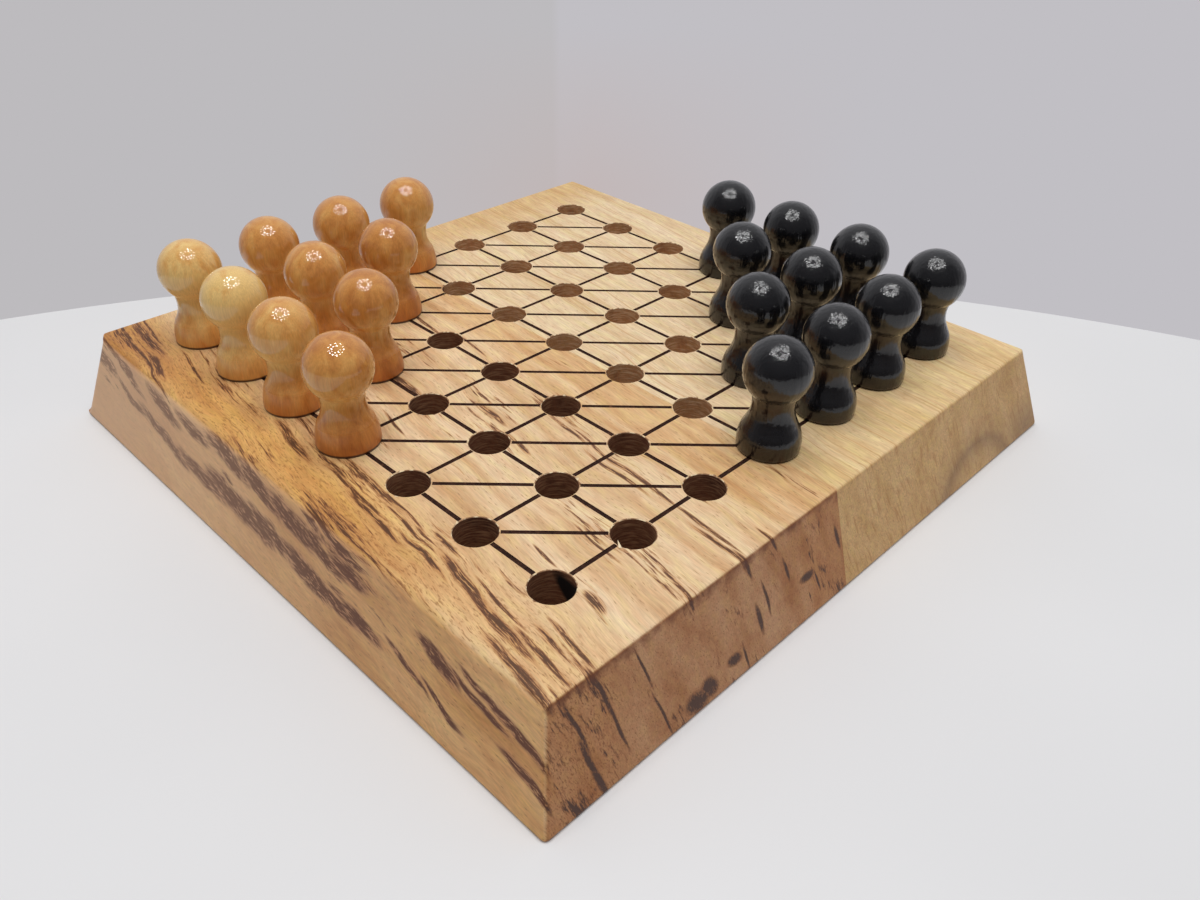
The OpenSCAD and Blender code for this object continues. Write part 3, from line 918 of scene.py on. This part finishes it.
# The table
# A round white table top whose far edge passes just behind the board, in front of pale lilac-grey walls.
TABLE_R = 378
TABLE_T = 18
TABLE_PLACE = (-208, -220)
bm = bmesh.new()
stand = Matrix.Translation((TABLE_PLACE[0] * MM, TABLE_PLACE[1] * MM, 0))
bmesh.ops.create_circle(bm, cap_ends=True, radius=TABLE_R * MM, segments=256, matrix=stand)
rim = bmesh.ops.extrude_face_region(bm, geom=bm.faces[:])["geom"]
under = [v for v in rim if isinstance(v, bmesh.types.BMVert)]
bmesh.ops.translate(bm, vec=(0, 0, -TABLE_T * MM), verts=under)
table = new_mesh("table_top", bm)
# White laminate: matt, very slightly uneven in patches as wide as a hand
table_material, tree, surface, place = new_material("white_laminate")
mottle = add(tree, "ShaderNodeTexNoise", {"Vector": place, "Scale": 9.0, "Detail": 2.0}).outputs["Fac"]
mottle = add(
    tree, "ShaderNodeValToRGB", {"Fac": mottle}, stops=[(0.3, colour("#dfdfdf")), (0.7, colour("#e5e5e5"))]
).outputs["Color"]
tree.links.new(mottle, surface.inputs["Base Color"])
surface.inputs["Roughness"].default_value = 0.6
table.data.materials.append(table_material)

# The light
# Two rings of small lamps hang almost straight over the board, like the glass of one ceiling lamp. The pale
# room fills the shadows: it is bright beyond the board, where its walls meet, and dim behind the near corner.
LAMP_PLACE = (-65, -65, 800)
LAMP_RINGS = [(300, 12), (170, 8)]
LAMP_ENERGY = 0.25
LAMP_D = 52
# Level ways through the room: over the board towards the corner of the walls, and across that
AWAY = Vector((0.711, 0.703, 0))
ASIDE = Vector((0.703, -0.711, 0))
for radius, count in LAMP_RINGS:
    for k in range(count):
        turn = 2 * math.pi * k / count
        lamp = bpy.data.objects.new(f"lamp_{radius}_{k}", bpy.data.lights.new(f"lamp_{radius}_{k}", "AREA"))
        lamp.data.shape = "DISK"
        lamp.data.size = LAMP_D * MM
        lamp.data.energy = LAMP_ENERGY
        offset = Vector((radius * math.cos(turn), radius * math.sin(turn), 0))
        lamp.location = (Vector(LAMP_PLACE) + offset) * MM
        lamp.rotation_euler = Vector(lamp.location).to_track_quat("Z", "Y").to_euler()
        lamp.visible_camera = False
        bpy.context.collection.objects.link(lamp)
world = bpy.data.worlds.new("room")
bpy.context.scene.world = world
world.use_nodes = True
tree = world.node_tree
tree.nodes.clear()
way = add(tree, "ShaderNodeTexCoord").outputs["Generated"]
heights = add(tree, "ShaderNodeSeparateXYZ", {"Vector": way}).outputs["Z"]
away = add(tree, "ShaderNodeVectorMath", {0: way, 1: AWAY}, operation="DOT_PRODUCT").outputs["Value"]
aside = add(tree, "ShaderNodeVectorMath", {0: way, 1: ASIDE}, operation="DOT_PRODUCT").outputs["Value"]
bearing = add(tree, "ShaderNodeMath", {0: aside, 1: away}, operation="DIVIDE").outputs[0]
corner = add(
    tree, "ShaderNodeMapRange", {"Value": bearing, "From Min": -0.042, "From Max": -0.034}
).outputs[0]
walls = add(
    tree, "ShaderNodeMix", {0: corner, 6: colour("#bdbbbe"), 7: colour("#c1bfc4")}, **blend_colours
).outputs[2]
near_corner = add(tree, "ShaderNodeMath", {0: bearing}, operation="ABSOLUTE").outputs[0]
near_corner = add(
    tree, "ShaderNodeMapRange", {"Value": near_corner, "From Min": 0.28, "From Max": 0.0, "To Max": 0.6}
).outputs[0]
low = add(tree, "ShaderNodeMapRange", {"Value": heights, "From Min": -0.2, "From Max": -0.34}).outputs[0]
warm = add(tree, "ShaderNodeMath", {0: near_corner, 1: low}, operation="MULTIPLY").outputs[0]
walls = add(tree, "ShaderNodeMix", {0: warm, 6: walls, 7: colour("#c3b3b0")}, **blend_colours).outputs[2]
behind = add(tree, "ShaderNodeMapRange", {"Value": away, "From Min": 0.7, "From Max": -0.8}).outputs[0]
walls = add(tree, "ShaderNodeMix", {0: behind, 6: walls, 7: colour("#4c4a4d")}, **blend_colours).outputs[2]
dim = add(tree, "ShaderNodeMapRange", {"Value": away, "From Min": 0.5, "From Max": -0.2}).outputs[0]
ceiling = add(
    tree, "ShaderNodeMix", {0: dim, 6: colour("#c6c6ca"), 7: colour("#717074")}, **blend_colours
).outputs[2]
up = add(tree, "ShaderNodeMapRange", {"Value": heights, "From Min": 0.0, "From Max": 0.4}).outputs[0]
room = add(tree, "ShaderNodeMix", {0: up, 6: walls, 7: ceiling}, **blend_colours).outputs[2]
glow = add(tree, "ShaderNodeBackground", {"Color": room, "Strength": 1.0}).outputs[0]
add(tree, "ShaderNodeOutputWorld", {"Surface": glow})
